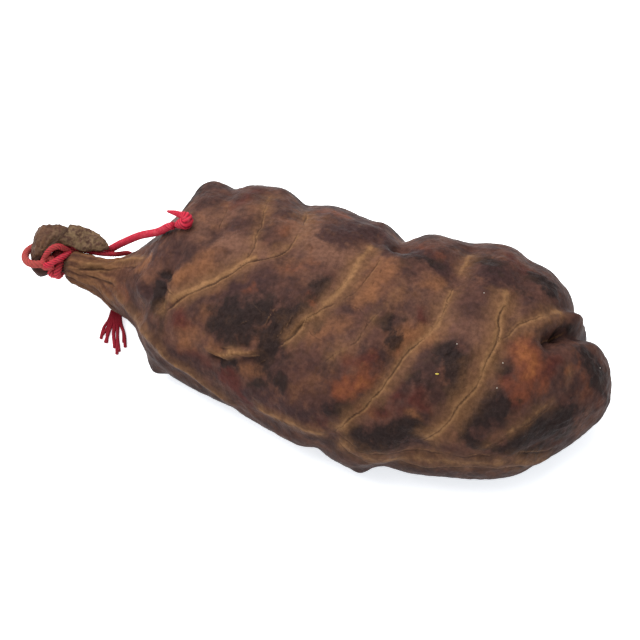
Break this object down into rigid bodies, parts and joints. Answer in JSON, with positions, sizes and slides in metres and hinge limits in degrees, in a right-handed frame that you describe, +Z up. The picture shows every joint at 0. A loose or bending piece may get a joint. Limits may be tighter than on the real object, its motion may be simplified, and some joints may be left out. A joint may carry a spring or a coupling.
{
  "type": "botillo sausage",
  "caption": "Plump smoked sausage in a natural gut casing, lying on its belly, with its gathered neck tied off in red cotton string.",
  "frame": {"origin": "on the surface that the sausage lies on, under the middle of the casing's box", "axes": "+X from the tied neck towards the blunt end, +Z up, -Y towards the near flank"},
  "size_m": [0.2759, 0.1185, 0.0721],
  "materials": {
    "casing": "semi-gloss smoked gut, mottled dark brown over mahogany and amber",
    "string": "matt twisted cotton, crimson"
  },
  "bodies": {
    "root": {"casing": "casing", "string_tie": "string", "string_long_end": "string", "string_short_end": "string", "stop_knot": "string", "tassel": "string"}
  },
  "joints": []
}
